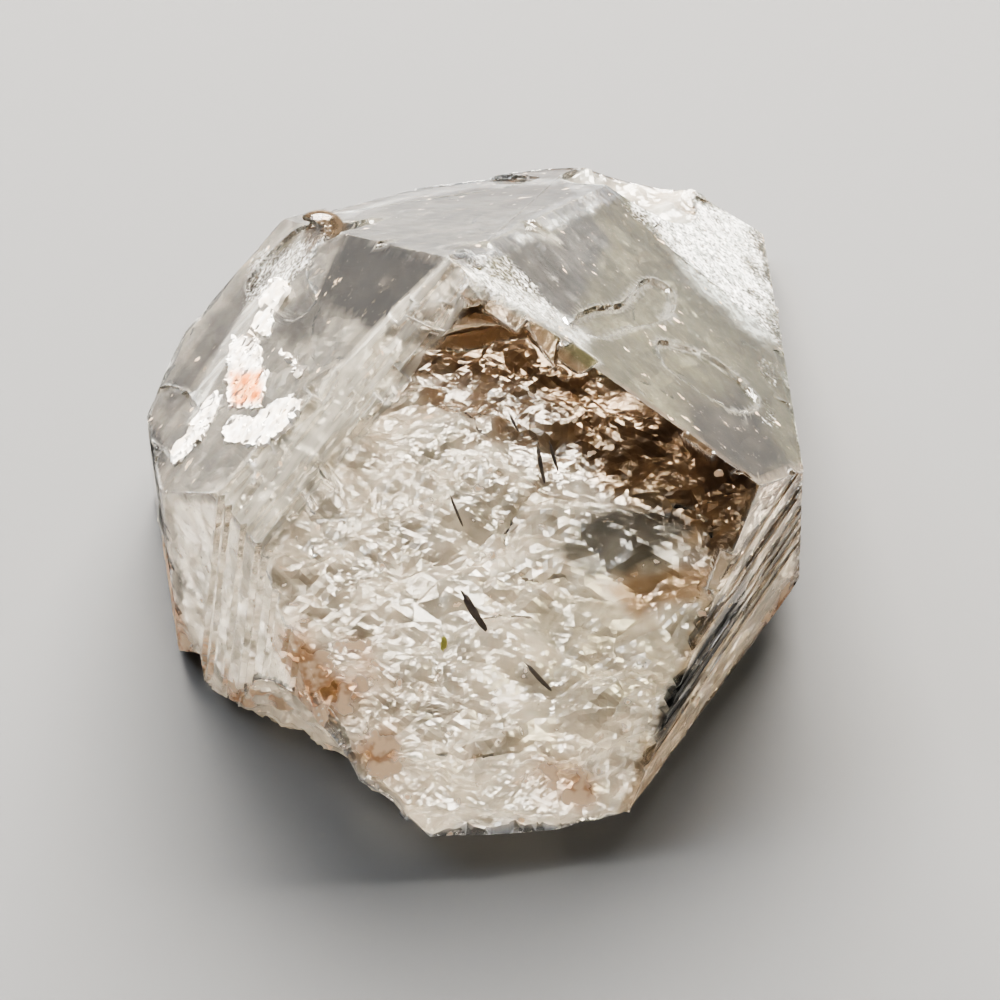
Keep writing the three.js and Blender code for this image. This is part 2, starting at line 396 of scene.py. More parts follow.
# %% [markdown]
# Each triangle belongs to a grown face, to a side or to a break, and its direction tells which. The
# vertices inside each zone go into a vertex group, so that a Displace modifier can press a pattern into
# that zone alone. The break has a second group, with weights from a noise, because it is more crumbly
# in some places.

# %% Zones
mesh = crystal.data
tip_edges = tip_edge_vertices(mesh)
SIDES = [name for name in FACES if name.startswith("side")]
CRUMBLE_WAVES = 7 * MM
CRUMBLE_LEAST = 0.15
CRUMBLE_MEAN = 0.6
CRUMBLE_SWING = 0.9
zones = {
    "tip faces": vertex_zone(mesh, grown_polygons(mesh, TIP_FACES)),
    "sides": vertex_zone(mesh, grown_polygons(mesh, SIDES)),
    "break": vertex_zone(mesh, broken_polygons(mesh)),
}
for zone, inside in zones.items():
    crystal.vertex_groups.new(name=zone).add(np.flatnonzero(inside).tolist(), 1.0, "REPLACE")
crumbly = crystal.vertex_groups.new(name="crumbly")
for index in np.flatnonzero(zones["break"]):
    swell = noise.noise(mesh.vertices[index].co / CRUMBLE_WAVES)
    weight = min(1.0, max(CRUMBLE_LEAST, CRUMBLE_MEAN + CRUMBLE_SWING * swell))
    crumbly.add([int(index)], weight, "REPLACE")
print("zones:", {zone: int(inside.sum()) for zone, inside in zones.items()})

# %% [markdown]
# The sharp edges of a real crystal are a little worn, and a worn edge is what catches the light.
# Blender can pick sharp edges by their angle, and one weak smoothing step then pulls them in by a few
# hundredths of a millimetre, more where the mesh is coarse and less where it is fine, so the wear is
# uneven as it should be.

# %% Wear the edges
EDGE_WEAR = 0.3
pick(crystal)
bpy.ops.object.mode_set(mode="EDIT")
bpy.context.tool_settings.mesh_select_mode = (False, True, False)
bpy.ops.mesh.select_all(action="DESELECT")
bpy.ops.mesh.edges_select_sharp(sharpness=EDGE_TURN)
bpy.ops.mesh.vertices_smooth(factor=EDGE_WEAR)
bpy.ops.object.mode_set(mode="OBJECT")
print("worn edges:", int(tip_edges.sum()), "vertices at the tip")

# %% [markdown]
# The low terraces on the right and back faces have been dissolved a little by the water they grew in,
# so their rims are rounded off. The rims are the triangles there that don't lie along any face.

# %% Soften the terraces
TERRACES = {
    "right": ((6.5, -10.0), (9.5, -28.0), (8.5, -45.7), (-1.7, -38.8), (-11.8, -27.4), (-15.0, -20.8),
              (-9.0, -15.6), (-1.5, -8.5)),
    "back": ((3, -8), (6.5, -30), (2, -42.5), (-3, -46), (-8.2, -39.5), (-10, -30), (-5, -8)),
}
TERRACE_DEPTH = 1.5
TERRACE_WEAR = 0.5
TERRACE_STEPS = 4


def inside_outline(across, upslope, outline):
    """How deep each place lies inside a convex outline, in millimetres, and less than 0 outside."""
    corners = np.array(outline, dtype=float)
    middle = corners.mean(axis=0)
    least = np.full(len(across), np.inf)
    for start, end in zip(corners, np.roll(corners, -1, axis=0)):
        way = (end - start) / np.linalg.norm(end - start)
        inward = np.array((-way[1], way[0]))
        inward *= np.sign(inward @ (middle - start))
        least = np.minimum(least, (across - start[0]) * inward[0] + (upslope - start[1]) * inward[1])
    return least


sloping = np.zeros(len(mesh.vertices), dtype=bool)
sloping[corner_vertices(mesh)[~grown_polygons(mesh, FACES)].ravel()] = True
terraces = np.zeros(len(mesh.vertices), dtype=bool)
for face, outline in TERRACES.items():
    across, upslope, out = on_face(face, vertex_places(mesh))
    terraces |= (inside_outline(across, upslope, outline) > 0) & (np.abs(out) < TERRACE_DEPTH)
rims = sloping & terraces
select(crystal, "vertices", terraces)
bpy.ops.mesh.vertices_smooth(factor=TERRACE_WEAR, repeat=TERRACE_STEPS)
bpy.ops.object.mode_set(mode="OBJECT")
print("terrace rims:", int(rims.sum()), "vertices")

# %% [markdown]
# A grown face is flat but not a mirror: it swells a little, and so bends what is seen through it. A
# Displace modifier presses a soft cloud pattern into it, inwards only, so that the crystal never
# outgrows the solid.

# %% Relief of the faces
FACE_RELIEF = (("tip faces", 7.0, 0.09), ("tip faces", 1.8, 0.012), ("sides", 3.0, 0.07))


def relief(piece, zone, pattern, size, depth, grain=None, **settings):
    """Presses a procedural pattern into one zone of a piece, inwards only, and applies it.

    grain is an empty whose turn and stretch the pattern takes on."""
    texture = bpy.data.textures.new(f"{zone} {pattern} {size / MM:.1f}", pattern)
    texture.noise_scale = size
    for name, value in settings.items():
        setattr(texture, name, value)
    pick(piece)
    press = piece.modifiers.new("relief", "DISPLACE")
    press.texture = texture
    press.texture_coords = "OBJECT" if grain else "LOCAL"
    press.texture_coords_object = grain
    press.vertex_group = zone
    press.mid_level = 1.0
    press.strength = depth
    bpy.ops.object.modifier_apply(modifier=press.name)


for zone, size, depth in FACE_RELIEF:
    relief(crystal, zone, "CLOUDS", size * MM, depth * MM)
print("relief of the faces:", len(FACE_RELIEF), "patterns")

# %% [markdown]
# Broken quartz splits into long shards and splinters. A Voronoi pattern measured by Manhattan distance
# gives their straight edges, and an empty that turns and stretches the pattern draws them out along one
# direction.

# %% Relief of the break
SPLINTERS = (-24, 2.6)
SHARDS = (38, 1.9)


def stretched(turn, stretch):
    """An empty that turns a pattern on the ground plan and draws it out along its own Y."""
    deselect()
    bpy.ops.object.empty_add(rotation=(0, 0, math.radians(turn)))
    bpy.context.object.scale = (1, stretch, 1)
    bpy.context.view_layer.update()
    return bpy.context.object


splinters = stretched(*SPLINTERS)
shards = stretched(*SHARDS)
BREAK_RELIEF = (
    ("break", 4.6, 1.1, shards),
    ("crumbly", 1.9, 0.5, splinters),
    ("crumbly", 0.9, 0.26, shards),
)
for zone, size, depth, guide in BREAK_RELIEF:
    relief(crystal, zone, "VORONOI", size * MM, depth * MM, guide, distance_metric="MANHATTAN")
for guide in (splinters, shards):
    bpy.data.objects.remove(guide)
print("relief of the break:", len(BREAK_RELIEF), "patterns")

# %% [markdown]
# Relief may push a vertex a hair past the solid's box, so those few are pulled back onto it. Faces are
# shaded smooth, and the break flat, because each small splinter of it is a mirror of its own.

# %% Keep to the box
SMOOTH_TURN = math.radians(14)

mesh = crystal.data
places = vertex_places(mesh)
clipped = np.clip(places, np.array(cad_box[0]), np.array(cad_box[1]))
mesh.vertices.foreach_set("co", clipped.ravel())
mesh.update()
pick(crystal)
bpy.ops.object.shade_smooth_by_angle(angle=SMOOTH_TURN)
splintered = zones["break"][corner_vertices(mesh)].all(axis=1)
select(crystal, "polygons", splintered)
bpy.ops.mesh.faces_shade_flat()
bpy.ops.object.mode_set(mode="OBJECT")
print("pulled back onto the box:", int((np.abs(clipped - places).max(axis=1) > 0).sum()), "vertices")

# %% [markdown]
# ## Stains, painted shade, frost and haze
# The clear faces aren't all one colour. Iron and tiny bubbles lie just under them. The near-black and
# dark grey spots are painted shade, the dim room seen through the clear body, and the bright streak on
# the left face is a painted highlight. The brown zones in the front and the grey of whole faces are
# partly their own colour and partly such painted shade. Each such place is painted as a soft spot on its
# face: its outline is given on the face's own sheet, and a noise makes the border uneven. The result is
# kept as numbers on the vertices, which a material can read as attributes.

# %% Painting helpers
SKIN = 0.7
BORDER_WAVES = 2.2


def mark(piece, name, values):
    """Keeps one number for each vertex as an attribute that a material can read."""
    layer = piece.data.attributes.new(name, "FLOAT", "POINT")
    layer.data.foreach_set("value", values.astype(np.float32))


def smooth_step(low, high, values):
    """From 0 to 1 between low and high."""
    t = np.clip((values - low) / (high - low), 0, 1)
    return t * t * (3 - 2 * t)


def ripple(points, size):
    """Smooth noise from about -1 to 1, with waves of the given size in millimetres."""
    return np.array([noise.noise(Vector(p) / (size * MM)) for p in points])


def patch(points, waves, skin, face, outline, soft, wobble):
    """A soft spot with an uneven border, for the points that lie within skin of the face."""
    across, upslope, out = on_face(face, points)
    depth = inside_outline(across, upslope, outline) + wobble * waves
    return smooth_step(-soft, soft, depth) * (np.abs(out) < skin)


def ball(centre, radius, soft, wobble):
    """A soft spot around a point of the crystal."""
    away = np.linalg.norm(skin_points - np.array(centre), axis=1) / MM
    return smooth_step(-soft, soft, radius - away + wobble * skin_ripple)


skin_points = vertex_places(crystal.data)
skin_ripple = ripple(skin_points, BORDER_WAVES)
print("painted points:", len(skin_points))

# %% [markdown]
# Each spot has a face, an outline in millimetres across and upslope, the softness of its border and how
# far the border wobbles. Every whole face is a spot too, under its own name, and the rim at the far end
# of the back face is a chain of four: its white is partly wear and partly a painted highlight.

# %% Spots
WHOLE = ((-40, 10), (40, 10), (40, -70), (-40, -70))
RIM_OUTER = ((7.7, -33.7), (2.8, -44.4), (-3.3, -47.8), (-8.9, -41.1), (-11.2, -31.0))
RIM_INNER = ((7.0, -29.6), (2.9, -40.5), (-3.1, -43.2), (-8.6, -36.2), (-10.5, -24.7))
SPOTS = {
    # The near-black and dark grey spots are painted shade, the dim room seen through the clear body; the
    # bright streak is a painted highlight.
    "shaded quad": ("left", ((-8.3, -20.7), (-0.3, -0.6), (3.6, -7.3), (-1.8, -19.2)), 0.35, 0.25),
    "dark glass": ("left", ((-2.4, -25.6), (-3.4, -22.7), (-0.4, -15.5), (2.0, -14.2), (2.1, -19.4),
                            (0.2, -24.0)), 0.5, 0.7),
    "bright streak": ("left", ((-10.7, -28.8), (-9.1, -26.1), (4.6, -29.0), (6.1, -30.3), (3.3, -31.4),
                               (-3.9, -31.6)), 0.4, 0.6),
    "dark streak": ("left", ((-10.2, -30.5), (-9.2, -29.2), (5.4, -33.4), (7.0, -34.5), (3.1, -36.7),
                             (-3.8, -35.6)), 0.4, 0.6),
    "frosted band": ("left", ((-9.5, -22), (-5.7, -25.5), (-3.5, -31), (-9.8, -35)), 1.0, 1.0),
    "milky corner": ("right", ((10.7, -30.7), (14.2, -48.2), (12.6, -56.3), (2.0, -44.3), (-9.6, -30.6),
                               (-7.7, -29.0), (2.5, -34.0)), 1.6, 2.0),
    "dark foot": ("right", ((-10.8, -16.1), (-8.3, -28.3), (-16.8, -24.1), (-19, -18.6), (-14.8, -13.0)),
                  1.6, 1.2),
    "grey glass": ("right", ((3.2, -8.9), (5.5, -19.3), (-0.6, -13.6), (-1.3, -7.7)), 0.8, 0.8),
    "ridge": ("right", ((0.2, 0.4), (1.2, -3.9), (-2.4, -9.6), (-3.9, -13.6), (-6.5, -8.8), (-2, -1.0)),
              0.4, 0.5),
    "white line": ("right", ((4.6, -12.4), (9.8, -28.3), (8.9, -28.0), (3.7, -12.3)), 0.25, 0.3),
    "dark window": ("right", ((2.7, -10.7), (9.6, -27.4), (6.0, -26.7), (-3.8, -10.7), (-2.4, -8.8),
                              (1.1, -8.8)), 0.5, 0.5),
    "frosted tip": ("right", ((1.5, -1.5), (2.4, -9), (-1.2, -9.6), (-4.8, -9.6), (-3, -3.2), (-1.2, 0)),
                    0.5, 0.6),
    "frosted corner": ("right", ((10.9, -32.4), (14.5, -47.4), (12.5, -58), (3.3, -47), (-2.6, -40),
                                 (1.5, -38)), 2.0, 2.0),
    "frosted border": ("right", ((-2.6, -40), (3.3, -47), (-13.6, -30), (-12, -26), (-6, -33)), 1.5, 1.5),
    "brown tip": ("front", ((0, -1), (-2.9, -5.4), (-1.7, -7.3), (2.4, -8.5), (8, -8)), 0.8, 0.9),
    "brown wedge": ("front", ((2, -2), (18.9, -16.5), (17.2, -23), (12, -20.5), (7, -15.5)), 1.2, 1.4),
    "brown corner": ("front", ((11, -9.5), (18.9, -17), (16, -19), (12, -14.5)), 0.9, 0.9),
    "dark lens": ("front", ((4.6, -20.4), (6.3, -18.4), (9.2, -17.8), (13.4, -18.2), (13.8, -19.8),
                            (11.6, -22.1), (8.9, -23.2), (6.7, -22.5)), 0.35, 0.9),
    "red patch": ("front", ((7.5, -23.5), (14.2, -22.5), (16.9, -22.7), (16.4, -24.8), (10, -25.9),
                            (8.1, -24.6)), 0.6, 0.9),
    "pale plane": ("front", ((2.9, -23.8), (6.5, -23.6), (9.0, -25.5), (8.4, -28.4), (5.4, -28.8),
                             (3.2, -27.0)), 0.2, 0.15),
    "dark strip": ("side_left", ((-9, -20), (-2, -22), (-1, -32), (-8, -34)), 0.8, 0.6),
    "dark band": ("side_front_right", ((1.5, -23.2), (1.0, -27.5), (-10.5, -30), (-12, -25.5)), 0.7, 0.5),
}
for face in FACES:
    SPOTS[face] = (face, WHOLE, 1.0, 0.0)
# The far rim of the back face, partly wear and partly a painted highlight, is a chain of four spots.
back_rim_highlight = []
for number in range(len(RIM_OUTER) - 1):
    back_rim_highlight.append(f"back rim highlight {number}")
    corners = (*RIM_OUTER[number:number + 2], *reversed(RIM_INNER[number:number + 2]))
    SPOTS[back_rim_highlight[-1]] = ("back", corners, 0.5, 0.8)
shares = {name: patch(skin_points, skin_ripple, SKIN, *spot) for name, spot in SPOTS.items()}
print("spots:", len(shares))

# %% [markdown]
# A tint says how much red, green and blue gets through a face. Later ones are painted over earlier
# ones.

# %% Tints
# The whole-face tints are partly the faces' own olive, slate and pale grey and partly painted shade: they
# darken each face as the dim room seen through it would.
OLIVE = (0.15, 0.146, 0.085)
SLATE = (0.36, 0.385, 0.42)
PALE = (0.34, 0.335, 0.32)
# The near-black quad tint and the dark grey spot tints below are painted shade: the dim room seen through
# the clear body.
QUAD_SHADE = (0.005, 0.004, 0.003)
# The rim tint is partly wear and partly a painted highlight along the far rim of the back face.
RIM_HIGHLIGHT = (0.55, 0.57, 0.57)
TINTS = (
    ("right", OLIVE),
    ("back", SLATE),
    ("left", PALE),
    ("shaded quad", QUAD_SHADE),
    ("milky corner", (0.44, 0.47, 0.44)),
    ("dark foot", (0.02, 0.016, 0.011)),
    ("grey glass", (0.06, 0.062, 0.058)),
    ("ridge", (0.46, 0.47, 0.44)),
    ("white line", (0.5, 0.52, 0.5)),
    ("dark glass", (0.09, 0.09, 0.092)),
    ("bright streak", (0.55, 0.54, 0.5)),
    ("dark streak", (0.11, 0.11, 0.115)),
    ("dark window", (0.055, 0.056, 0.056)),
    # The three browns are partly a brown stain and partly painted shade of the dim room seen through the
    # front.
    ("brown tip", (0.30, 0.22, 0.15)),
    ("brown wedge", (0.38, 0.27, 0.18)),
    ("brown corner", (0.14, 0.085, 0.05)),
    ("dark lens", (0.10, 0.104, 0.11)),
    ("red patch", (0.42, 0.27, 0.17)),
    ("bevel", (0.60, 0.57, 0.50)),
    *((name, RIM_HIGHLIGHT) for name in back_rim_highlight),
    ("pale plane", (0.80, 0.77, 0.68)),
    ("side_left", (0.30, 0.28, 0.26)),
    ("dark strip", (0.05, 0.047, 0.045)),
    ("side_front_right", (0.48, 0.39, 0.30)),
    ("dark band", (0.03, 0.03, 0.034)),
)


def painted(tints, share, colour):
    """The tints with a colour painted over them, as far as its share goes."""
    return tints * (1 - share[:, None]) + np.array(colour) * share[:, None]


left_over = np.ones((len(skin_points), 3))
for name, colour in TINTS:
    left_over = painted(left_over, shares[name], colour)
print("mean tint:", left_over.mean(axis=0).round(2))

# %% [markdown]
# Frost is a surface full of tiny pits. Haze is a cloud of bubbles just under the surface, and a value
# below 0 clears it away again. The tip's sharp edges and the rims of the terraces get a painted highlight:
# hazy pale grey painted along them, on the edges more or less along their length.

# %% Frost, haze and painted highlights
FROST = {"bevel": 0.15, "frosted tip": 0.75, "frosted corner": 0.9, "frosted border": 0.5,
         "frosted band": 0.7, "side_front_left": 0.25, "right": 0.12}
# Haze below 0 keeps the painted-shade spots clear and dark; the bright streak's haze is a painted
# highlight.
HAZE = {"right": 0.22, "milky corner": 0.75, "dark foot": -0.25, "grey glass": -0.3, "ridge": 0.6,
        "white line": 0.7, "left": 0.12, "shaded quad": -0.22, "dark glass": -0.2, "bright streak": 0.5,
        "dark streak": -0.2, "bevel": 0.42, **{name: 0.32 for name in back_rim_highlight}, "pale plane": 0.22}
# The painted highlight along the tip's sharp edges: its mean, swing, most and wave size, and its grey.
HIGHLIGHT_MEAN, HIGHLIGHT_SWING, HIGHLIGHT_MOST, HIGHLIGHT_WAVES = 0.42, 0.6, 0.85, 1.6
EDGE_HIGHLIGHT_GREY = (0.74, 0.74, 0.71)
# The painted highlight on the terrace rims: some haze and a pale grey, for the thin bright lines along
# them.
RIM_HIGHLIGHT_HAZE = 0.24
TERRACE_RIM_HIGHLIGHT = (0.42, 0.42, 0.37)

frost = np.zeros(len(skin_points))
for name, value in FROST.items():
    frost = np.maximum(frost, value * shares[name])
haze = np.zeros(len(skin_points))
for name, value in HAZE.items():
    hazier = np.maximum(haze, value * shares[name])
    clearer = haze + value * shares[name]
    haze = np.clip(hazier if value > 0 else clearer, 0, 1)
# Painted highlight along the tip's sharp edges, uneven along their length.
edge_highlight = np.clip(HIGHLIGHT_MEAN + HIGHLIGHT_SWING * ripple(skin_points[tip_edges], HIGHLIGHT_WAVES), 0, HIGHLIGHT_MOST)
haze[tip_edges] = np.maximum(haze[tip_edges], edge_highlight)
left_over[tip_edges] += (np.array(EDGE_HIGHLIGHT_GREY) - left_over[tip_edges]) * edge_highlight[:, None]
# Painted highlight on the terrace rims.
haze[rims] = RIM_HIGHLIGHT_HAZE
left_over[rims] = TERRACE_RIM_HIGHLIGHT
print("frosted, hazy points:", int((frost > 0.2).sum()), int((haze > 0.2).sum()))

# %% [markdown]
# Iron has left rusty crusts near the foot, painted as balls around a point. The knob has its own brown.

# %% Rust crusts
RUST = (0.40, 0.17, 0.06)
PEACH = (0.56, 0.29, 0.14)
CRUSTS = (
    (face_spot("side_left", 1, -39), 6.0, PEACH, 1.5, 1.5),
    (face_spot("side_front_left", 4, -36.5), 2.6, RUST, 2.0, 2.4),
    (face_spot("side_front_left", 7.5, -33), 3.0, PEACH, 2.4, 2.6),
    (face_spot("front", -13, -27.4), 2.2, PEACH, 2.2, 2.6),
    (face_spot("front", -10.6, -29.4), 2.4, RUST, 2.2, 2.6),
    (face_spot("front", -8.2, -34.6), 1.4, RUST, 1.2, 1.6),
    (face_spot("front", 3.4, -37.2), 1.6, PEACH, 1.4, 1.4),
    (face_spot("front", 4.8, -38.8), 1.2, RUST, 1.0, 1.0),
    (face_spot("side_front_right", 5.5, -36), 2.6, RUST, 1.6, 1.6),
)
KNOB = tip + lean @ (Vector((-9.4, 16.3, -20.7)) * MM)
KNOB_RADIUS = 2.1
KNOB_SOFT = 0.4
KNOB_HAZE = 0.6
KNOB_BROWN = (0.15, 0.11, 0.075)
CHANNELS = ("red", "green", "blue")

crust = np.zeros(len(skin_points))
for centre, radius, colour, soft, wobble in CRUSTS:
    share = ball(centre, radius, soft, wobble)
    crust = np.maximum(crust, share)
    left_over = painted(left_over, share, colour)
knob_share = ball(KNOB, KNOB_RADIUS, KNOB_SOFT, 0.0)
left_over = painted(left_over, knob_share, KNOB_BROWN)
haze = np.maximum(haze, KNOB_HAZE * knob_share)
mark(crystal, "broken", zones["break"].astype(float))
mark(crystal, "frost", frost)
mark(crystal, "crust", crust)
mark(crystal, "haze", haze)
for channel, values in zip(CHANNELS, left_over.T):
    mark(crystal, f"{channel} taken", 1 - values)
print("crusted points:", int((crust > 0.2).sum()))

# %% [markdown]
# ## Clear quartz
# Quartz is glass clear with an index of refraction of 1.544. A little brown is taken out of the light
# on its way through the body, so thick parts look smoky. The break is not clear: crushed quartz
# scatters light and looks milky, cream in front and stained brown at the back.

# %% Clear quartz
QUARTZ_INDEX = 1.544
SMOKY_LIGHT = (0.86, 0.81, 0.72, 1)
SMOKY_DENSITY = 18.0
quartz_look = bpy.data.materials.new("clear quartz")
quartz_look.use_nodes = True
nodes = quartz_look.node_tree.nodes
links = quartz_look.node_tree.links
shader = nodes["Principled BSDF"]
shader.inputs["IOR"].default_value = QUARTZ_INDEX
absorption = nodes.new("ShaderNodeVolumeAbsorption")
absorption.inputs["Color"].default_value = SMOKY_LIGHT
absorption.inputs["Density"].default_value = SMOKY_DENSITY
links.new(absorption.outputs["Volume"], nodes["Material Output"].inputs["Volume"])


def plug(socket, value):
    """Puts a number, a colour or another node's output into a socket."""
    if isinstance(value, bpy.types.NodeSocket):
        links.new(value, socket)
    else:
        socket.default_value = value


def maths(operation, first, second=0.0):
    """One Math node."""
    node = nodes.new("ShaderNodeMath")
    node.operation = operation
    plug(node.inputs[0], first)
    plug(node.inputs[1], second)
    return node.outputs[0]


def greatest(first, *others):
    """The greatest of several values."""
    for other in others:
        first = maths("MAXIMUM", first, other)
    return first


def ramp(value, low, high, from_value=0.0, to_value=1.0):
    """A smooth step of a value from low to high."""
    node = nodes.new("ShaderNodeMapRange")
    node.interpolation_type = "SMOOTHSTEP"
    plug(node.inputs["Value"], value)
    plug(node.inputs["From Min"], low)
    plug(node.inputs["From Max"], high)
    plug(node.inputs["To Min"], from_value)
    plug(node.inputs["To Max"], to_value)
    return node.outputs["Result"]


def blend(share, first, second):
    """A mix of two colours."""
    node = nodes.new("ShaderNodeMix")
    node.data_type = "RGBA"
    plug(node.inputs["Factor"], share)
    plug(node.inputs["A"], first)
    plug(node.inputs["B"], second)
    return node.outputs["Result"]


def cloud(size, detail=3.0, roughness=0.55, along=None):
    """Soft noise with spots of about the given size, drawn out along a grain if there is one."""
    node = nodes.new("ShaderNodeTexNoise")
    node.inputs["Scale"].default_value = 1 / size
    node.inputs["Detail"].default_value = detail
    node.inputs["Roughness"].default_value = roughness
    links.new(along or place.outputs["Object"], node.inputs["Vector"])
    return node.outputs["Fac"]


def beyond(line_point, direction):
    """How far in millimetres a place lies beyond a line on the ground plan."""
    node = nodes.new("ShaderNodeVectorMath")
    node.operation = "DOT_PRODUCT"
    way = Vector((*direction, 0)).normalized()
    links.new(place.outputs["Object"], node.inputs[0])
    node.inputs[1].default_value = way / MM
    return maths("SUBTRACT", node.outputs["Value"], way.dot(Vector((*line_point, 0))))


def kept(name):
    """A number that the mesh keeps for each vertex."""
    node = nodes.new("ShaderNodeAttribute")
    node.attribute_name = name
    return node.outputs["Fac"]


print("quartz, index:", QUARTZ_INDEX)

# %% [markdown]
# Everything in the material is broken up by the same few noises, which keeps the render quick: three
# plain ones of different sizes, and one drawn out to streaks along the bevel, as its growth lines run.

# %% Noises
STREAK_STRETCH = 7
place = nodes.new("ShaderNodeTexCoord")
broken, frosty, crusty = kept("broken"), kept("frost"), kept("crust")
streak_out = face_normal("bevel")
streak_way = streak_out.cross(face_normal("front")).normalized()
streak_axes = Matrix((streak_way, streak_out.cross(streak_way), streak_out)).transposed()
grain = nodes.new("ShaderNodeMapping")
grain.vector_type = "TEXTURE"
grain.inputs["Rotation"].default_value = streak_axes.to_euler()
grain.inputs["Scale"].default_value = (STREAK_STRETCH, 1, 1)
links.new(place.outputs["Object"], grain.inputs["Vector"])
streaks = cloud(0.7 * MM, 2.0, along=grain.outputs["Vector"])
coarse = cloud(3.2 * MM, 1.0)
middling = cloud(1.3 * MM, 2.0)
fine = cloud(0.28 * MM, 1.0)
print("noises:", sum(node.type == "TEX_NOISE" for node in nodes))

# %% [markdown]
# First the break: cream, and brown beyond a slanting line at the back, with an uneven border. The
# scooped bites higher up are greyer.

# %% Break colours
CREAM = ((0.98, 0.92, 0.81, 1), (0.74, 0.62, 0.48, 1))
SCOOP_GREY = ((0.55, 0.55, 0.52, 1), (0.25, 0.24, 0.20, 1))
STAIN = ((0.10, 0.066, 0.042, 1), (0.36, 0.25, 0.16, 1))
STAIN_LINE = ((8, 9), (0.75, 0.66))
STAIN_SPREAD = 14.0
MILKY = (0.4, 0.78)
STAIN_COVER = 0.9
height = nodes.new("ShaderNodeSeparateXYZ")
links.new(place.outputs["Object"], height.inputs["Vector"])
low = ramp(height.outputs["Z"], 5 * MM, 10 * MM, 1.0, 0.0)
spread = maths("MULTIPLY", maths("SUBTRACT", coarse, 0.5), STAIN_SPREAD)
smoky = maths("MULTIPLY", low, ramp(maths("ADD", beyond(*STAIN_LINE), spread), -3.0, 3.0))
high = maths("SUBTRACT", 1.0, low)
pale = blend(high, blend(middling, *CREAM), blend(middling, *SCOOP_GREY))
milky = blend(smoky, pale, blend(middling, *STAIN))
milkiness = greatest(ramp(coarse, 0.3, 0.7, *MILKY), maths("MULTIPLY", smoky, STAIN_COVER))
cloudy = maths("MULTIPLY", broken, milkiness)
print("nodes so far:", len(nodes))

# %% [markdown]
# Then the faces: the tint, the rusty flecks, the streaky haze and the white sparkle of the frosted
# places. Whatever hides the inside takes its share from the transmission.

# %% Face colours
DUST = (0.72, 0.54, 0.37, 1)
SPARKLE_WHITE = (0.93, 0.93, 0.92, 1)
CRUST_COVER = 0.85
SPARKLE_COVER = 0.6
BREAK_ROUGHNESS = 0.12
CRUST_ROUGHNESS = 0.7
mottle = ramp(coarse, 0.32, 0.68, 0.72, 1.0)
shade = nodes.new("ShaderNodeCombineColor")
for channel, socket in zip(CHANNELS, shade.inputs):
    plug(socket, maths("MULTIPLY", maths("SUBTRACT", 1.0, kept(f"{channel} taken")), mottle))
tint = shade.outputs["Color"]
stained = blend(ramp(middling, 0.42, 0.62), tint, DUST)
flecks = maths("MULTIPLY", maths("SUBTRACT", middling, 0.5), 2.6)
crusted = ramp(maths("ADD", maths("MULTIPLY", crusty, 0.72), flecks), 0.42, 0.68)
grit = maths("ADD", maths("MULTIPLY", fine, 0.65), maths("MULTIPLY", middling, 0.35))
sparkle = ramp(maths("ADD", maths("MULTIPLY", frosty, 0.3), grit), 0.66, 0.86)
hazy = maths("MULTIPLY", kept("haze"), ramp(streaks, 0.3, 0.7, 0.35, 1.25))
colour = blend(crusted, blend(broken, tint, milky), stained)
plug(shader.inputs["Base Color"], blend(sparkle, colour, SPARKLE_WHITE))
covered = greatest(maths("MULTIPLY", crusted, CRUST_COVER), maths("MULTIPLY", sparkle, SPARKLE_COVER))
hidden = greatest(cloudy, hazy, covered)
plug(shader.inputs["Transmission Weight"], maths("SUBTRACT", 1.0, hidden))
matt = maths("MULTIPLY", frosty, ramp(fine, 0.35, 0.65, 0.15, 0.8))
broken_dull = maths("MULTIPLY", broken, BREAK_ROUGHNESS)
crusted_dull = maths("MULTIPLY", crusted, CRUST_ROUGHNESS)
plug(shader.inputs["Roughness"], greatest(broken_dull, matt, crusted_dull))
crystal.data.materials.clear()
crystal.data.materials.append(quartz_look)
print("quartz material:", len(nodes), "nodes")

# %% [markdown]
# ## Cracks and specks
# Cracks inside quartz are thin flat lenses. One lens is modelled, by flattening and ruffling a sphere,
# and copied with its own turn and size wherever a crack shows as a dark stroke; the copies are opaque and
# dark.

# %% One lens
LENS_RUFFLE = 0.3
deselect()
bpy.ops.mesh.primitive_uv_sphere_add(segments=12, ring_count=6, radius=1)
lens = bpy.context.object
bpy.ops.object.mode_set(mode="EDIT")
bpy.ops.mesh.select_all(action="SELECT")
bpy.ops.transform.vertex_random(offset=LENS_RUFFLE, seed=3)
bpy.ops.mesh.quads_convert_to_tris()
bpy.ops.object.mode_set(mode="OBJECT")
bpy.ops.object.shade_smooth()


def lens_copy(name, face, spot, depth, length, width, thickness, turn, tilt):
    """A copy of the lens under a face, placed within its mesh: angles in degrees, sizes in millimetres."""
    axes = face_frame(face)
    turned = Matrix(axes[:3]).transposed() @ Matrix.Rotation(math.radians(turn), 3, "Z")
    turned = turned @ Matrix.Rotation(math.radians(tilt), 3, "X")
    sized = turned @ Matrix.Diagonal((length / 2 * MM, width / 2 * MM, thickness / 2 * MM))
    copy = bpy.data.objects.new(name, lens.data.copy())
    copy.data.transform(sized.to_4x4())
    copy.data.transform(Matrix.Translation(face_spot(face, *spot, depth)))
    scene.collection.objects.link(copy)
    return copy


def join(pieces, target):
    """Joins pieces to the target, which stays the active object."""
    pick(target)
    for piece in pieces:
        piece.select_set(True)
    bpy.ops.object.join()


print("lens:", len(lens.data.polygons), "triangles")

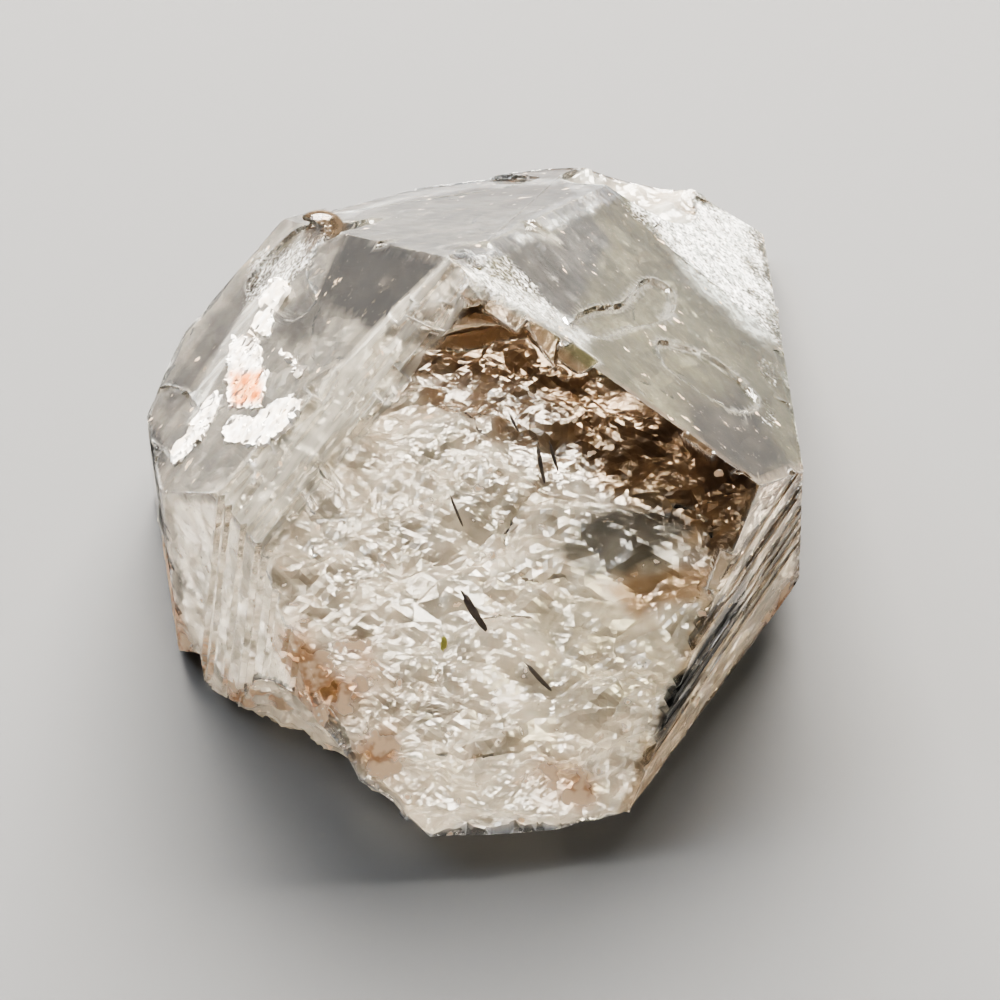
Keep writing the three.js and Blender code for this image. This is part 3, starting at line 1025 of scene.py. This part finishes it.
# %% Dark crack strokes
STROKES = (
    ((-0.9, -24.9), 1.2, 3.3, 0.6, -67),
    ((3.0, -30.2), 1.2, 2.7, 0.35, -56),
    ((4.4, -14.7), 1.4, 2.9, 0.30, -85),
    ((5.3, -14.3), 1.4, 2.2, 0.22, -80),
    ((2.9, -11.6), 1.4, 1.5, 0.20, -70),
    ((-1.4, -17.5), 1.4, 2.4, 0.18, -75),
)
STROKE_THICKNESS = 0.12
STROKE_TILT = 15
STROKE_COLOURS = ((0.06, 0.05, 0.045, 1), (0.26, 0.21, 0.17, 1))
STROKE_ROUGHNESS = 0.6
strokes = [lens_copy("stroke", "front", spot, depth, long, wide, STROKE_THICKNESS, turn, STROKE_TILT)
           for spot, depth, long, wide, turn in STROKES]
join(strokes[1:], strokes[0])
dark_strokes = strokes[0]
dark_strokes.name = "dark_crack_strokes"
stroke_look = bpy.data.materials.new("dark crack fill")
stroke_look.use_nodes = True
nodes = stroke_look.node_tree.nodes
links = stroke_look.node_tree.links
place = nodes.new("ShaderNodeTexCoord")
plug(nodes["Principled BSDF"].inputs["Base Color"], blend(cloud(0.6 * MM), *STROKE_COLOURS))
nodes["Principled BSDF"].inputs["Roughness"].default_value = STROKE_ROUGHNESS
dark_strokes.data.materials.clear()
dark_strokes.data.materials.append(stroke_look)
print("dark crack strokes:", len(strokes))

# %% [markdown]
# One crystal of another mineral sits low in the front: a small yellow-green speck, made from the same
# lens.

# %% Green speck
SPECK_GREEN = (0.52, 0.50, 0.14, 1)
SPECK_ROUGHNESS = 0.5
speck = lens_copy("green_speck", "front", (-3.1, -26.8), 0.8, 1.1, 0.45, 0.25, 80, 10)
speck_look = bpy.data.materials.new("green speck")
speck_look.use_nodes = True
speck_shader = speck_look.node_tree.nodes["Principled BSDF"]
speck_shader.inputs["Base Color"].default_value = SPECK_GREEN
speck_shader.inputs["Roughness"].default_value = SPECK_ROUGHNESS
speck.data.materials.clear()
speck.data.materials.append(speck_look)
print("speck, mm:", [round(c / MM, 1) for c in speck.data.vertices[0].co])

# %% [markdown]
# ## Clay
# White clay has filled a shallow hollow in the left face, with a patch of orange iron in it. Each flake
# is a filled circle pulled to its outline, refined, roughened and given a thickness.

# %% Clay flakes
CLAY_DEPTH = -0.22
CLAY_EDGE = 0.45 * MM
CLAY_RUFFLE = 0.11 * MM
CLAY_LUMPS = (1.0 * MM, 0.4 * MM)
CLAY_THICKNESS = 0.3 * MM
CLAY_SMOOTH_TURN = math.radians(40)
CLAY = (
    ((-5.7, -27.3), (-4.3, -24.7), (-3.5, -24.8), (-2.4, -25.4), (-1.3, -24.2), (0.5, -23.5), (-0.1, -25.6),
     (-1.4, -28.0), (-3.0, -28.1), (-4.4, -28.8), (-5.6, -28.4)),
    ((-0.9, -29.7), (-0.4, -26.1), (1.0, -24.2), (3.1, -22.0), (4.4, -20.2), (5.9, -19.4), (7.7, -18.4),
     (7.4, -20.2), (6.3, -23.9), (3.6, -26.8), (0.7, -29.2)),
    ((8.2, -23.4), (7.1, -22.5), (8.1, -18.5), (7.1, -16.6), (7.3, -14.3), (8.2, -12.3), (9.4, -11.9),
     (10.4, -12.5), (11.6, -14.3), (10.9, -17.2), (10.1, -20.8)),
    ((8.9, -30.5), (10.7, -27.8), (10.0, -26.6), (8.4, -25.4), (6.4, -25.7), (5.0, -26.0), (4.1, -28.3),
     (5.7, -29.1), (7.5, -29.2)),
    ((2.7, -19.0), (4.1, -16.5), (5.2, -14.5), (5.6, -14.9), (4.2, -17.2)),
)


def flake(outline):
    """One thin flake under the left face."""
    deselect()
    bpy.ops.mesh.primitive_circle_add(vertices=len(outline), fill_type="NGON")
    piece = bpy.context.object
    for vertex, (across, upslope) in zip(piece.data.vertices, outline):
        vertex.co = face_spot("left", across, upslope, CLAY_DEPTH)
    piece.data.update()
    bpy.ops.object.mode_set(mode="EDIT")
    triangulate()
    bpy.ops.object.mode_set(mode="OBJECT")
    if sum(p.normal.dot(face_normal("left")) for p in piece.data.polygons) < 0:
        piece.data.flip_normals()
    refine(piece, lambda mesh, ends: CLAY_EDGE)
    bpy.ops.object.mode_set(mode="EDIT")
    bpy.ops.mesh.select_all(action="SELECT")
    bpy.ops.mesh.vertices_smooth(factor=0.5, repeat=3)
    bpy.ops.transform.vertex_random(offset=CLAY_RUFFLE, seed=len(outline))
    bpy.ops.object.mode_set(mode="OBJECT")
    piece.vertex_groups.new(name="all").add(range(len(piece.data.vertices)), 1.0, "REPLACE")
    relief(piece, "all", "CLOUDS", *CLAY_LUMPS)
    wall = piece.modifiers.new("thickness", "SOLIDIFY")
    wall.thickness = CLAY_THICKNESS
    wall.offset = -1
    bpy.ops.object.modifier_apply(modifier=wall.name)
    bpy.ops.object.shade_smooth_by_angle(angle=CLAY_SMOOTH_TURN)
    return piece


flakes = [flake(outline) for outline in CLAY]
join(flakes[1:], flakes[0])
clay = flakes[0]
clay.name = "clay_flakes"
bpy.data.objects.remove(lens)
inclusions = [dark_strokes, speck, clay]
print("clay:", len(clay.data.polygons), "triangles")

# %% [markdown]
# The orange patch is painted on the clay as the spots on the crystal are, and then two noises make the
# chalky white and the iron uneven.

# %% Clay colours
IRON_SPOT = ("left", ((2.6, -27.2), (3.7, -21.8), (7.0, -18.6), (6.2, -23.6)), 0.4, 0.4)
IRON_WAVES = 1.2
CLAY_SKIN = 3.0
CHALK = ((0.86, 0.84, 0.81, 1), (0.66, 0.58, 0.49, 1))
IRON = ((0.62, 0.20, 0.06, 1), (0.78, 0.42, 0.22, 1))
CLAY_ROUGHNESS = 0.9
clay_points = vertex_places(clay.data)
mark(clay, "rust", patch(clay_points, ripple(clay_points, IRON_WAVES), CLAY_SKIN, *IRON_SPOT))
clay_look = bpy.data.materials.new("white clay")
clay_look.use_nodes = True
nodes = clay_look.node_tree.nodes
links = clay_look.node_tree.links
place = nodes.new("ShaderNodeTexCoord")
chalk = blend(ramp(cloud(1.2 * MM), 0.3, 0.7), *CHALK)
iron = blend(ramp(cloud(0.8 * MM), 0.35, 0.65), *IRON)
plug(nodes["Principled BSDF"].inputs["Base Color"], blend(kept("rust"), chalk, iron))
nodes["Principled BSDF"].inputs["Roughness"].default_value = CLAY_ROUGHNESS
clay.data.materials.clear()
clay.data.materials.append(clay_look)
print("clay material:", len(nodes), "nodes")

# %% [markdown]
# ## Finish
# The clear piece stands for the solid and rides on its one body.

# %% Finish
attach(crystal, "root")
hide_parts("quartz_point")
for piece in inclusions:
    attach(piece, "root")
